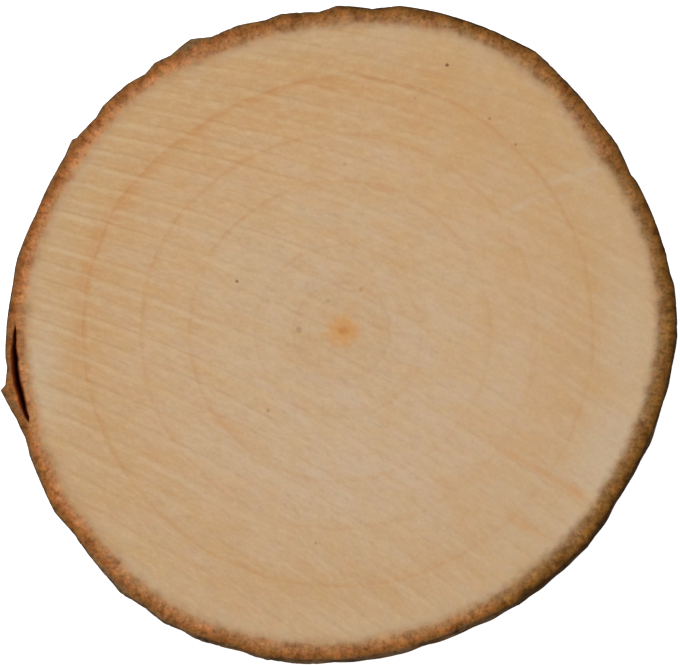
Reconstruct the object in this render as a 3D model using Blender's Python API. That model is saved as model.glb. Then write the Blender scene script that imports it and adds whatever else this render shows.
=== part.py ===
"""A thin round slice sawn across a young tree stem, with its bark still on.

The wood and the bark grew together, so the slice is one solid. It lies on its lower sawn face,
with the stem's direction along +Z. The origin is under the middle of the slice, at its base.
Angles run counter-clockwise from +X, seen from above, about the pith.
"""

import math
import random

import bmesh
import bpy
import numpy as np
from mathutils import Vector

MM = 0.001  # metres in a millimetre

# The saw cut
SLICE_THICKNESS = 6.0 * MM

# The bark's outline at the upper face, as the corners between its shallow arcs.
# Each corner is its angle in degrees and its distance from the pith in millimetres.
RIGHT_SIDE = [(8, 32.35), (10, 32.15), (27, 31.9), (28.5, 31.7), (34, 32.1), (39, 32.05)]
TOP_RIGHT_SHOULDER = [(50, 32.5), (55.5, 32.85), (60, 32.6), (80, 31.95)]
KNUCKLES = [
    (84.7, 31.3), (91, 31.5), (94.3, 30.95), (101, 31.25), (104, 31.0), (109, 31.25),
    (114, 31.15), (117.5, 31.85), (122, 31.45), (125, 31.7), (127.5, 31.35), (131, 31.7),
    (137, 31.8), (139, 31.55), (144, 31.8), (144.7, 32.05), (148, 31.75),
]
LEFT_SIDE = [(159, 31.75), (167.5, 32.25), (172, 32.2), (180.5, 32.55), (184.5, 32.7)]
TORN_FLAP = [(186, 32.6), (189.1, 33.0), (189.8, 33.55), (193, 33.0), (195.2, 32.65), (198.5, 32.35)]
LOWER_LEFT_BULGE = [(212, 32.85), (217, 32.5), (229.5, 33.05), (234, 32.8), (238, 33.0)]
BOTTOM = [(252, 32.3), (256.5, 32.45), (260, 32.2), (280, 31.35)]
LOWER_RIGHT_FLATS = [
    (293.5, 30.95), (303, 31.2), (306, 31.05), (315, 31.2), (319, 31.35), (323, 31.15),
    (329, 31.05), (336, 31.25), (357, 32.1), (359, 32.3),
]
OUTLINE_CORNERS = (
    RIGHT_SIDE + TOP_RIGHT_SHOULDER + KNUCKLES + LEFT_SIDE
    + TORN_FLAP + LOWER_LEFT_BULGE + BOTTOM + LOWER_RIGHT_FLATS
)

# The stem wasn't quite square to the saw: the lower face lies this far to the side of the upper one.
STEM_LEAN = 0.45 * MM
STEM_LEAN_ANGLE = 290  # degrees

# The bark's low ridges, which run along the stem
RIDGE_HEIGHT = 0.12 * MM
RIDGES_ROUND_THE_STEM = (23, 41, 67)
RIDGE_SHARES = (0.45, 0.35, 0.20)  # of the ridge height, one for each count above
RIDGE_WANDER = 1.3  # radians that a ridge shifts sideways between the two faces
RIDGE_SEED = 7

# The dark crack on the left, where the outer bark has come away from the inner bark
CRACK_START = 178.9  # degrees
CRACK_END = 196.5
CRACK_RADIUS = 31.75 * MM  # from the pith to the middle of the crack
CRACK_WIDTH = 0.75 * MM
CRACK_DEPTH = 4.6 * MM
CRACK_TAPER = 0.45  # width of the crack's foot, as a share of its mouth
CRACK_FULLNESS = 0.7  # below 1 the crack stays wide nearer to its pointed ends
CRACK_STEPS = 24
CUTTER_OVERSHOOT = 0.5 * MM  # how far the cutter stands above the upper face
CUTTER_WELD = 0.001 * MM

# How finely the round wall is divided
WALL_STEPS_ROUND = 480
WALL_STEPS_DOWN = 6

LEVEL_NORMAL = 0.9  # a face whose normal rises or falls more than this belongs to a sawn face
SHARP_EDGE = 40  # degrees
CYLINDER_RADIUS = 30.0 * MM  # of the plain cylinder that the wall is shaped from

SAWN_WOOD = {"color": (0.55, 0.36, 0.20, 1.0), "roughness": 0.62}
BARK = {"color": (0.17, 0.09, 0.04, 1.0), "roughness": 0.9}


def clear_scene():
    for item in list(bpy.data.objects):
        bpy.data.objects.remove(item, do_unlink=True)


def new_collection(name):
    collection = bpy.data.collections.new(name)
    bpy.context.scene.collection.children.link(collection)
    return collection


def new_material(name, color, roughness):
    material = bpy.data.materials.new(name)
    material.use_nodes = True
    shader = material.node_tree.nodes["Principled BSDF"]
    shader.inputs["Base Color"].default_value = color
    shader.inputs["Roughness"].default_value = roughness
    shader.inputs["Metallic"].default_value = 0.0
    material.diffuse_color = color
    return material


def move_to(collection, item):
    for owner in item.users_collection:
        owner.objects.unlink(item)
    collection.objects.link(item)


def outline_radius(angle):
    """Distance in metres from the pith to the upper face's outline: shallow arcs from corner to corner."""
    corner_angles, corner_radii = zip(*OUTLINE_CORNERS)
    return float(np.interp(angle, corner_angles, corner_radii, period=360)) * MM


def ridge_waves():
    """One (count, height, phase) for each set of ridges round the stem."""
    draw = random.Random(RIDGE_SEED)
    return [
        (count, RIDGE_HEIGHT * share, draw.uniform(0, math.tau))
        for count, share in zip(RIDGES_ROUND_THE_STEM, RIDGE_SHARES)
    ]


def bark_ridge(waves, angle, down):
    """Height of the bark's ridges in metres, growing from nothing at the upper face's outline."""
    turn = math.radians(angle)
    wander = RIDGE_WANDER * down
    height = sum(size * math.sin(count * turn + phase + wander) for count, size, phase in waves)
    return height * math.sin(down * math.pi / 2)


def stem_shift(down):
    """Sideways shift of the leaning stem, from 0 at the upper face to its full size at the lower one."""
    lean = math.radians(STEM_LEAN_ANGLE)
    return Vector((math.cos(lean), math.sin(lean), 0)) * STEM_LEAN * down


def ring_angles():
    """Even steps round the stem, with the nearest step moved onto each corner of the outline."""
    step = 360 / WALL_STEPS_ROUND
    angles = [index * step for index in range(WALL_STEPS_ROUND)]
    for corner, _ in OUTLINE_CORNERS:
        angles[round(corner / step) % WALL_STEPS_ROUND] = corner
    return angles


def make_slice(collection):
    """The whole disc: a cylinder with rings of points down its wall, each moved to the bark's surface."""
    bpy.ops.mesh.primitive_cylinder_add(
        vertices=WALL_STEPS_ROUND, radius=CYLINDER_RADIUS, depth=SLICE_THICKNESS, end_fill_type="NGON"
    )
    disc = bpy.context.object
    disc.name = disc.data.name = "wood_slice"
    move_to(collection, disc)
    mesh = bmesh.new()
    mesh.from_mesh(disc.data)
    upright = [edge for edge in mesh.edges if edge.verts[0].co.z * edge.verts[1].co.z < 0]
    bmesh.ops.subdivide_edges(mesh, edges=upright, cuts=WALL_STEPS_DOWN - 1, use_grid_fill=True)
    angles = ring_angles()
    waves = ridge_waves()
    for vert in mesh.verts:
        even_angle = math.degrees(math.atan2(vert.co.y, vert.co.x))
        angle = angles[round(even_angle * WALL_STEPS_ROUND / 360) % WALL_STEPS_ROUND]
        down = 0.5 - vert.co.z / SLICE_THICKNESS
        radius = outline_radius(angle) + bark_ridge(waves, angle, down)
        turn = math.radians(angle)
        place = Vector((radius * math.cos(turn), radius * math.sin(turn), vert.co.z))
        vert.co = place + stem_shift(down)
    mesh.to_mesh(disc.data)
    mesh.free()
    return disc


def crack_edge(side, steps):
    """Points along one side of the crack's mouth: side is +1 for the outer one and -1 for the inner one."""
    points = []
    for index in steps:
        share = index / CRACK_STEPS
        turn = math.radians(CRACK_START + (CRACK_END - CRACK_START) * share)
        half_width = CRACK_WIDTH / 2 * math.sin(math.pi * share) ** CRACK_FULLNESS
        radius = CRACK_RADIUS + side * half_width
        points.append((radius * math.cos(turn), radius * math.sin(turn)))
    return points


def make_crack_cutter(collection):
    """A crescent blade of the crack's shape, which leans with the stem and narrows downwards."""
    outline = crack_edge(1, range(CRACK_STEPS + 1)) + crack_edge(-1, range(CRACK_STEPS - 1, 0, -1))
    curve = bpy.data.curves.new("crack_outline", "CURVE")
    curve.dimensions = "2D"
    curve.fill_mode = "BOTH"
    curve.extrude = CRACK_DEPTH
    spline = curve.splines.new("POLY")
    spline.points.add(len(outline) - 1)
    for point, (x, y) in zip(spline.points, outline):
        point.co = (x, y, 0, 1)
    spline.use_cyclic_u = True
    drawn = bpy.data.objects.new("crack_outline", curve)
    collection.objects.link(drawn)
    filled = drawn.evaluated_get(bpy.context.evaluated_depsgraph_get())
    blade = bpy.data.objects.new("crack_cutter", bpy.data.meshes.new_from_object(filled))
    collection.objects.link(blade)
    bpy.data.objects.remove(drawn, do_unlink=True)
    mesh = bmesh.new()
    mesh.from_mesh(blade.data)
    bmesh.ops.remove_doubles(mesh, verts=mesh.verts, dist=CUTTER_WELD)
    for vert in mesh.verts:
        if vert.co.z > 0:
            vert.co.z = SLICE_THICKNESS / 2 + CUTTER_OVERSHOOT
            continue
        outwards = Vector((vert.co.x, vert.co.y, 0))
        narrowed = CRACK_RADIUS + (outwards.length - CRACK_RADIUS) * CRACK_TAPER
        vert.co = outwards.normalized() * narrowed + stem_shift(CRACK_DEPTH / SLICE_THICKNESS)
        vert.co.z = SLICE_THICKNESS / 2 - CRACK_DEPTH
    bmesh.ops.recalc_face_normals(mesh, faces=mesh.faces)
    mesh.to_mesh(blade.data)
    mesh.free()
    blade.display_type = "WIRE"
    blade.hide_render = True
    return blade


def cut_crack(disc, blade):
    crack = disc.modifiers.new("crack", "BOOLEAN")
    crack.operation = "DIFFERENCE"
    crack.solver = "EXACT"
    crack.object = blade


def dress(disc, wood, bark):
    """The two sawn faces are pale wood, and the wall is bark."""
    disc.data.materials.append(wood)
    disc.data.materials.append(bark)
    for face in disc.data.polygons:
        face.material_index = 0 if abs(face.normal.z) > LEVEL_NORMAL else 1
    disc.data.shade_smooth()
    disc.data.set_sharp_from_angle(angle=math.radians(SHARP_EDGE))


def stand_on_origin(disc):
    """Moves the slice so that the middle of its lower side is at the origin."""
    places = [vert.co for vert in disc.data.vertices]
    middle_x = (min(p.x for p in places) + max(p.x for p in places)) / 2
    middle_y = (min(p.y for p in places) + max(p.y for p in places)) / 2
    disc.location = (-middle_x, -middle_y, SLICE_THICKNESS / 2)


def main():
    clear_scene()
    slices = new_collection("wood_slice")
    cutters = new_collection("cutters")
    wood = new_material("sawn_wood", **SAWN_WOOD)
    bark = new_material("bark", **BARK)
    disc = make_slice(slices)
    dress(disc, wood, bark)
    blade = make_crack_cutter(cutters)
    blade.parent = disc
    cut_crack(disc, blade)
    stand_on_origin(disc)


main()
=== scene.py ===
# %% [markdown]
# A thin round slice of a young tree stem, seen from straight above.
#
# The real thing is one disc, sawn across a stem about 65 mm wide. Its two sawn faces are pale wood
# with five faint growth rings and a spot of orange pith. Round them runs a thin brown bark with a
# crack on the left. Wood and bark grew together, but they have two finishes, so two pieces are made
# here: `sawn_wood` and `bark`. They meet at the cambium, the thin layer where both of them grow.
#
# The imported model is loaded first. It gives the slice its size and its outline.

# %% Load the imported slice
import math
import random

import bpy
import numpy as np
from mathutils import Matrix, Vector, noise
from mathutils.bvhtree import BVHTree


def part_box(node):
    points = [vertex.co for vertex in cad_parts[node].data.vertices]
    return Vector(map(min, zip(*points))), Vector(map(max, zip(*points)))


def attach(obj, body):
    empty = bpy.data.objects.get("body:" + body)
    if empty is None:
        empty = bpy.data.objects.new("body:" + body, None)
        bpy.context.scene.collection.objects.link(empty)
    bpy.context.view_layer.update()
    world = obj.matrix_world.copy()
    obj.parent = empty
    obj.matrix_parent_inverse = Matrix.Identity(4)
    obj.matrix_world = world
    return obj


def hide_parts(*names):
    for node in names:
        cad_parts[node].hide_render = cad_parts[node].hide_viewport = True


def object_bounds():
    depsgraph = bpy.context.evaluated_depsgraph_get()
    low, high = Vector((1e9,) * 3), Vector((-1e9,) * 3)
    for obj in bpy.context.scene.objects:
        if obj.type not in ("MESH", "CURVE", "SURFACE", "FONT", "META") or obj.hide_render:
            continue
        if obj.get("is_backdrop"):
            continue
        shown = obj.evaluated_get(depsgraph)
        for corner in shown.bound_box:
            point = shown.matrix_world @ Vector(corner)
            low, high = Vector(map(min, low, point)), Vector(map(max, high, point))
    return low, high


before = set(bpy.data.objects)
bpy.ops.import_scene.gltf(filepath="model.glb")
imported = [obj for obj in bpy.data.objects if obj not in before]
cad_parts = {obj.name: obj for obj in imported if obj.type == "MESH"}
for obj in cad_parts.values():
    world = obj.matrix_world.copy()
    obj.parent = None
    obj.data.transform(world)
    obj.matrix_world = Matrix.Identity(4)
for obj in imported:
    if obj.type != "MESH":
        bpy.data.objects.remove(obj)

MM = 0.001  # metres in a millimetre
cad_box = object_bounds()
lowest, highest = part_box("wood_slice")
THICKNESS = (highest.z - lowest.z) / MM
print(f"the slice is {(highest.x - lowest.x) / MM:.1f} mm wide and {THICKNESS:.1f} mm thick")

# %% [markdown]
# Every shape below is drawn in millimetres round the pith, the middle of the stem. The stem leaned a
# little as it was sawn, so its middle shifts sideways from the upper face to the lower one.

# %% The stem's middle line
PITH = np.array([0.2897, 0.4161])  # on the upper face
LEAN = 0.45
LEAN_ANGLE = math.radians(290)


def stem_middle(height):
    """Where the stem's middle line passes a height above the table, as x and y."""
    down = 1 - np.asarray(height)[..., None] / THICKNESS
    return PITH + np.array([math.cos(LEAN_ANGLE), math.sin(LEAN_ANGLE)]) * LEAN * down


print("the middle shifts by", np.round(stem_middle(0.0) - stem_middle(THICKNESS), 2), "mm")

# %% [markdown]
# The bark's outline could be typed in again as a list, but then it could drift away from the solid.
# It is measured instead: a ray is shot inwards at each of 1440 angles, and the distance at which it
# meets the solid gives the bark's radius there. The same is done at several heights, which also
# brings along the low ridges that run down the bark.

# %% Measure the bark's outline
COLUMNS = 1440
RAY_START = 40.0
JUST_INSIDE = 0.02  # rays pass this far below the upper face

turns = np.arange(COLUMNS) * math.tau / COLUMNS
outwards = np.stack([np.cos(turns), np.sin(turns)], axis=1)
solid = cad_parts["wood_slice"].data
corners, sides = [v.co for v in solid.vertices], [p.vertices for p in solid.polygons]
solid_surface = BVHTree.FromPolygons(corners, sides)


def bark_radius(height):
    """The bark's distance from the stem's middle at one height, for every column."""
    height = min(max(height, JUST_INSIDE), THICKNESS - JUST_INSIDE)
    starts = stem_middle(height) + outwards * RAY_START
    radii = []
    for start, direction in zip(starts, outwards):
        origin = Vector((start[0], start[1], height)) * MM
        distance = solid_surface.ray_cast(origin, Vector((-direction[0], -direction[1], 0)))[3]
        radii.append(RAY_START - distance / MM)
    return np.array(radii)


outline = bark_radius(THICKNESS)
print(f"bark radius {outline.min():.2f} to {outline.max():.2f} mm")

# %% [markdown]
# The cambium isn't a circle. The bark is thick where it bulges and thin where it was rubbed, so the
# wood's edge is a list of corners: an angle and a distance from the pith. It is rounded by
# averaging neighbours, and a little noise keeps it from looking drawn.

# %% The wood's edge
CAMBIUM_CORNERS = [
    (0, 30.4), (5, 30.52), (20, 30.35), (30, 30.15), (35, 29.75), (40, 30.05), (50, 30.65),
    (57, 30.85), (65, 30.85), (70, 30.65), (80, 30.05), (90, 29.55), (100, 29.3), (112, 29.3),
    (120, 29.5), (130, 30.1), (137, 30.05), (145, 29.95), (160, 30.3), (170, 30.65), (180, 30.55),
    (190, 30.45), (196, 30.5), (200, 30.95), (205, 30.65), (210, 30.95), (220, 30.75), (225, 30.9),
    (235, 31.07), (240, 31.05), (250, 30.8), (260, 30.5), (270, 30.1), (280, 29.65), (287, 29.5),
    (300, 29.4), (310, 29.25), (320, 29.45), (330, 29.35), (340, 29.62), (350, 30.05),
]
CAMBIUM_ROUNDING = 9  # columns averaged together
CAMBIUM_WAVER = 0.05  # how far noise moves it in or out
THINNEST_BARK = 0.6
BARK_RADIUS = 31.0  # roughly from the pith to the middle of the bark


def smoothed(values, width):
    """A closed ring of values, each averaged with its neighbours."""
    return sum(np.roll(values, shift) for shift in range(-(width // 2), width // 2 + 1)) / width


def ring_noise(size, seed):
    """Smooth noise round the stem, from -1 to 1; size is the width of its lumps in mm."""
    ring = outwards * BARK_RADIUS / size
    return np.array([noise.noise(Vector((x, y, seed))) for x, y in ring])


corner_angles, corner_radii = zip(*CAMBIUM_CORNERS)
cambium = np.interp(np.degrees(turns), corner_angles, corner_radii, period=360)
cambium = smoothed(cambium, CAMBIUM_ROUNDING) + CAMBIUM_WAVER * ring_noise(size=1.2, seed=3.0)
cambium = np.minimum(cambium, outline - THINNEST_BARK)
print(f"the bark is {(outline - cambium).min():.2f} to {(outline - cambium).max():.2f} mm thick")

# %% [markdown]
# The saw has left long shallow strokes on both faces. They aren't straight: they slope by 15 degrees
# at the top of the slice and by 34 degrees at the bottom, as they do where a saw swings round a far
# centre. One formula gives each point its stroke: a number that stays the same along a stroke and
# grows by about 1 for each millimetre across. The strokes also repeat: the same set of lighter and
# darker lines comes back with each pull of the saw, every 2 mm. A second formula counts those pulls.
# Both the relief and the colours below use the two.

# %% The saw's strokes
FACE_MIDDLE = PITH + np.array([-0.244, -0.147])
STROKE_SLOPE = 0.484
STROKE_TURN_ACROSS = -0.0109
STROKE_TURN_UP = -0.0018
STROKE_BEND = 0.0000427
STROKE_ANGLE = math.radians(25)  # how far the strokes drop towards the right, in the middle
PULLS_PER_STROKE = 0.438
PULLS_QUICKEN = 0.0025  # the pulls get closer together towards the top


def saw_stroke(x, y):
    """Which stroke passes a point; about 1 for each millimetre across the strokes."""
    x, y = x - FACE_MIDDLE[0], y - FACE_MIDDLE[1]
    turning = STROKE_TURN_ACROSS * x * y + STROKE_TURN_UP * y * y + STROKE_BEND * x * x * y
    return y + STROKE_SLOPE * x + turning


def saw_pull(stroke):
    """Counts the pulls of the saw: it grows by 1 over one full set of lines."""
    return stroke * (PULLS_PER_STROKE + PULLS_QUICKEN * stroke)


def along_stroke(x, y):
    """How far along its stroke a point lies, in mm."""
    return x * math.cos(STROKE_ANGLE) - y * math.sin(STROKE_ANGLE)


def noise_at(x, y, z):
    """Smooth noise from -1 to 1 at each point of three arrays."""
    return np.array([noise.noise(Vector(place)) for place in zip(x, y, z)])


print(f"strokes number {saw_stroke(0.0, -30.0):.0f} to {saw_stroke(0.0, 30.0):.0f} from bottom to top")

# %% [markdown]
# The strokes are real grooves, some hundredths of a millimetre deep. A displacement modifier with a
# texture could carve them, but it would push the face both ways. Here each point is only ever
# lowered, so the slice never grows past its measured size.

# %% Depth of the saw's grooves
GROOVE_DEPTH = 0.035
GROOVE_PROFILE = [  # share of a pull, and how deep the groove is there
    (0.0, 0.05), (0.2, 0.3), (0.3, 1.0), (0.45, 0.45), (0.7, 0.75), (0.9, 0.35), (1.0, 0.05),
]
UNSTEADY_WIDTH, UNSTEADY_LENGTH = 4.0, 14.0  # of the lumps that make a groove stray and fade
GROOVE_STRAYS = 0.2  # of a pull
GROOVE_FADES = 0.3  # of its depth
FINE_SPACING, FINE_LENGTH, FINE_SHARE = 0.8, 9.0, 0.3
ABOVE, BELOW = 1.0, 40.0  # seeds for the two faces


def groove_depth(x, y, seed):
    """How deep the saw has cut below the plane of the face, in mm."""
    stroke, run = saw_stroke(x, y), along_stroke(x, y)
    level = np.full(len(x), seed)
    unsteady = noise_at(stroke / UNSTEADY_WIDTH, run / UNSTEADY_LENGTH, level)
    fine = noise_at(stroke / FINE_SPACING, run / FINE_LENGTH, level + 5.0)
    pulls, depths = zip(*GROOVE_PROFILE)
    groove = np.interp((saw_pull(stroke) + GROOVE_STRAYS * unsteady) % 1, pulls, depths)
    groove = groove * (1 - GROOVE_FADES + GROOVE_FADES * unsteady)
    return GROOVE_DEPTH * np.clip(groove + FINE_SHARE * fine, 0, 1)


print(f"grooves are at most {GROOVE_DEPTH:.3f} mm deep")

# %% [markdown]
# The wood is a disc made of rings of points round the pith. A plain circle fill would leave one huge
# flat face, which can't carry grooves. Each ring has the cambium's shape, scaled down, and the small
# inner rings have fewer points, so that all the triangles stay about 0.3 mm across. The underside is
# hardly looked at, so its rings are twice as far apart.

# %% Rings of points over a sawn face
RINGS_ABOVE = 100
RINGS_BELOW = 50
RING_SIZES = [  # share of the wood's radius, and the number of points in a ring from there outwards
    (1.0, 1440), (0.5, 720), (0.25, 360), (0.12, 180), (0.0, 90),
]


def columns_in_ring(share):
    """The number of points in a ring, from its share of the wood's radius."""
    return next(count for limit, count in RING_SIZES if share >= limit)


def face_points(rings, height):
    """x and y of each point on a sawn face, from the rim inwards, and the size of each ring."""
    places, sizes = [], []
    for ring in range(rings, 0, -1):
        share = ring / rings
        step = COLUMNS // columns_in_ring(share)
        places.append(stem_middle(height) + (outwards * cambium[:, None])[::step] * share)
        sizes.append(COLUMNS // step)
    places.append(stem_middle(height)[None])
    return np.concatenate(places), sizes


def face_triangles(sizes, first, facing_up):
    """Joins each ring to the next smaller one, and the last ring to the middle point."""
    faces, outer = [], first
    for size, next_size in zip(sizes, sizes[1:]):
        inner = outer + size
        for k in range(next_size):
            k1 = (k + 1) % next_size
            if size == next_size:
                faces.append((outer + k, outer + k1, inner + k1, inner + k))
            else:
                a, b, c = outer + 2 * k, outer + 2 * k + 1, outer + (2 * k + 2) % size
                faces += [(a, b, inner + k), (b, inner + k1, inner + k), (b, c, inner + k1)]
        outer = inner
    middle = outer + sizes[-1]
    faces += [(outer + k, outer + (k + 1) % sizes[-1], middle) for k in range(sizes[-1])]
    return faces if facing_up else [face[::-1] for face in faces]


upper_xy, upper_sizes = face_points(RINGS_ABOVE, THICKNESS)
lower_xy, lower_sizes = face_points(RINGS_BELOW, 0.0)
upper_z = THICKNESS - groove_depth(upper_xy[:, 0], upper_xy[:, 1], ABOVE)
lower_z = groove_depth(lower_xy[:, 0], lower_xy[:, 1], BELOW)
print(len(upper_xy), "points above and", len(lower_xy), "below")

# %% [markdown]
# The sawn wood is one closed shell: two sawn faces and a plain rim between them, which the bark
# hides. A cylinder with more and more cuts could serve, but its points wouldn't follow the cambium.
# So the mesh is made from lists of points and faces.

# %% Make the wood
SHARP_EDGE = math.radians(50)


def new_piece(name, points, faces):
    """A mesh object from points in mm and faces."""
    mesh = bpy.data.meshes.new(name)
    mesh.from_pydata((points * MM).tolist(), [], faces)
    mesh.update()
    piece = bpy.data.objects.new(name, mesh)
    bpy.context.scene.collection.objects.link(piece)
    mesh.shade_smooth()
    mesh.set_sharp_from_angle(angle=SHARP_EDGE)
    return piece


wood_points = np.concatenate([np.c_[upper_xy, upper_z], np.c_[lower_xy, lower_z]])
upper_faces = face_triangles(upper_sizes, 0, True)
lower_faces = face_triangles(lower_sizes, len(upper_xy), False)
rim_faces = []
for k in range(COLUMNS):
    k1 = (k + 1) % COLUMNS
    rim_faces.append((k, len(upper_xy) + k, len(upper_xy) + k1, k1))
sawn_wood = new_piece("sawn_wood", wood_points, upper_faces + lower_faces + rim_faces)
print(sawn_wood.name, "has", len(sawn_wood.data.polygons), "faces")

# %% [markdown]
# The bark is a ring, and its section is drawn as one closed line of points. The line starts at the
# cambium on the upper face, goes outwards over the cut bark, dips into the crack and out again,
# turns over the crumbled rim, runs down the outer side, and comes back under the slice. Every column
# has the same number of points, so the whole ring is a simple grid of four-sided faces.
#
# Where there is no crack, its points lie close together on the flat cut.

# %% The crack's shape
CRACK = [  # angle, distance of its middle from the pith, width
    (178.5, 31.66, 0.0), (180.0, 31.65, 0.32), (182.4, 31.75, 0.48), (184.5, 31.79, 0.70),
    (187.4, 31.86, 0.70), (189.8, 31.73, 0.74), (191.8, 31.69, 0.70), (193.4, 31.68, 0.58),
    (195.25, 31.62, 0.42), (196.5, 31.55, 0.0),
]
CRACK_DEPTH = 4.6
CRACK_OPENS = 0.7  # width at which the crack reaches its full depth
CRACK_DEEPENS = 1.5  # above 1, it stays shallow near its pointed ends
RAGGED_FROM = 0.3  # width from which its lips are ragged
CRACK_WAVER = 0.07  # how far its ragged lips stray to either side
CRACK_FRAYS = 0.06  # how far they are frayed back
LIP_TINT = 0.03  # how far down the crack's red-brown colour seems to begin at its lips
CRACK_BLEND = 8.0  # degrees past its ends over which its points return to the middle of the bark
IDLE_WIDTH = 0.25  # between its points where there is no crack
IDLE_LEAST = 0.04  # share of that width right at the crack's ends
IDLE_GROWS = 4  # how fast the width comes back past the ends

crack_angles, crack_middles, crack_widths = (np.array(row) for row in zip(*CRACK))
degrees = np.degrees(turns)
crack_width = np.interp(degrees, crack_angles, crack_widths, left=0, right=0)
past_crack = np.maximum(crack_angles[0] - degrees, degrees - crack_angles[-1])
past_crack = past_crack.clip(0, CRACK_BLEND) / CRACK_BLEND
crack_middle = np.interp(degrees, crack_angles, crack_middles)
crack_middle += ((cambium + outline) / 2 - crack_middle) * past_crack
crack_depth = CRACK_DEPTH * np.clip(crack_width / CRACK_OPENS, 0, 1) ** CRACK_DEEPENS
idle_width = IDLE_WIDTH * np.clip(past_crack * IDLE_GROWS, IDLE_LEAST, 1)
crack_half = np.maximum(crack_width, idle_width) / 2
ragged = np.clip(crack_width / RAGGED_FROM, 0, 1)
crack_half += (CRACK_WAVER * ring_noise(size=0.7, seed=21.0) + CRACK_FRAYS) * ragged
crack_middle += CRACK_WAVER * ring_noise(size=1.1, seed=23.0) * ragged
print(f"the crack is {crack_width.max():.2f} mm wide and {crack_depth.max():.1f} mm deep")

# %% [markdown]
# The outer side is real bark: fissures run down it, and between them it is lumpy and crumbly. A
# fissure lies where a noise that is stretched along the stem passes through 0, so fissures join and
# part as they do in real bark. All of this is pushed in or out of the measured side. Small shapes
# like these are kept in the mesh and not only in a bump texture, because they show in the slice's
# silhouette.

# %% The bark's outer side
SIDE_STEPS = 24
RIM = 0.16  # radius of the worn rim between a sawn face and the outer side
FISSURE_DEPTH = 0.10
FISSURE_WIDTH = 0.17  # as a share of the noise's own height
FISSURE_SPACING, FISSURE_LENGTH = 1.5, 25.0
FISSURE_FORCE = 0.6  # how strong they are on average; the lumps make them stronger or weaker
FISSURE_SWAY = 0.2  # how far a fissure strays sideways
SWAY_SIZE, SWAY_LENGTH = 2.0, 1.5
LUMP_SIZE, LUMP_LENGTH, LUMP_RISE = 2.6, 5.0, 0.04
LUMP_SEED = 20
CRUMB_SIZE, CRUMB_RISE = 0.35, 0.02

side_heights = np.linspace(THICKNESS - 2 * RIM, 2 * RIM, SIDE_STEPS)
side_radii = np.stack([bark_radius(height) for height in side_heights], axis=1)
side_xy = stem_middle(side_heights)[None] + outwards[:, None] * side_radii[..., None]
flat_x, flat_y = side_xy[..., 0].ravel(), side_xy[..., 1].ravel()
flat_z = np.tile(side_heights, COLUMNS)
stem_x, stem_y = (np.repeat(outwards[:, axis] * BARK_RADIUS, SIDE_STEPS) for axis in (0, 1))
sway = FISSURE_SWAY * noise_at(stem_x / SWAY_SIZE, stem_y / SWAY_SIZE, flat_z / SWAY_LENGTH)
stem_x, stem_y = stem_x + sway, stem_y + sway
furrow = noise_at(stem_x / FISSURE_SPACING, stem_y / FISSURE_SPACING, flat_z / FISSURE_LENGTH)
furrow = np.abs(furrow).reshape(side_radii.shape)
lumps = noise_at(flat_x / LUMP_SIZE, flat_y / LUMP_SIZE, flat_z / LUMP_LENGTH + LUMP_SEED)
crumbs = noise_at(flat_x / CRUMB_SIZE, flat_y / CRUMB_SIZE, flat_z / CRUMB_SIZE)
fissure_force = np.clip(FISSURE_FORCE + lumps, 0, 1).reshape(side_radii.shape)
fissure = np.clip(1 - furrow / FISSURE_WIDTH, 0, 1) ** 2 * fissure_force
swelling = (LUMP_RISE * lumps + CRUMB_RISE * crumbs).reshape(side_radii.shape)
print(f"fissures cover {(fissure > 0).mean():.0%} of the side")

# %% [markdown]
# The pores are lens-shaped lumps that lie across the bark. They are scattered by a seeded draw, so
# that they come out the same each time. Where the bark was rubbed, all of this is nearly worn away.

# %% Pores and worn bark
PORES, PORE_SEED = 90, 11
PORE_LENGTHS, PORE_HEIGHTS = (0.4, 1.1), (0.12, 0.22)  # half of each
PORE_MARGIN = 0.8  # kept free below and above
PORE_RISE = 0.08
SKIN_RADIUS = 32.0  # roughly from the pith to the bark's outer side
RUBBED_ANGLE = math.radians(312)  # the bark was rubbed smooth on this side
RUBBED_FOCUS = 1.6  # above 1, the rubbed side is narrower
RUBBED_SHARE = 0.8

pores = np.zeros_like(side_radii)
draw = random.Random(PORE_SEED)
for _ in range(PORES):
    turn, height = draw.uniform(0, math.tau), draw.uniform(PORE_MARGIN, THICKNESS - PORE_MARGIN)
    length, tall = draw.uniform(*PORE_LENGTHS), draw.uniform(*PORE_HEIGHTS)
    across = (np.remainder(turns - turn + math.pi, math.tau) - math.pi)[:, None] * SKIN_RADIUS
    spread = (across / length) ** 2 + ((side_heights[None] - height) / tall) ** 2
    pores = np.maximum(pores, np.exp(-spread))
bark_relief = PORE_RISE * pores - FISSURE_DEPTH * fissure + swelling
bark_relief -= bark_relief.mean()
rubbed = np.clip(1 + RUBBED_FOCUS * (np.cos(turns - RUBBED_ANGLE) - 1), 0, 1)
left_whole = 1 - RUBBED_SHARE * rubbed
bark_relief *= left_whole[:, None]
print(f"relief from {bark_relief.min():.2f} to {bark_relief.max():.2f} mm")

# %% [markdown]
# The rim needs care, because the eye goes to it first: it is where the saw tore the bark, so it is
# chipped here and there. The same chips lower the cut bark near the edge and pull the outline in.

# %% The section of the bark
CHIP_DEPTH = 0.12  # below the cut face
CHIP_BITE = 0.04  # into the outline
CHIP_FROM = 0.1  # height of the noise from which a large chip is missing
SMALL_CHIP = 0.5  # depth of the small chips, as a share of the large ones'
EDGE_RELIEF = 0.5  # share of the outer side's relief that reaches the rim
RIM_BEVEL = 0.3  # how far the rim's middle point is moved, as a share of its radius
INNER_STEPS, OUTER_STEPS, FOOT_STEPS = 5, 4, 4

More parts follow.
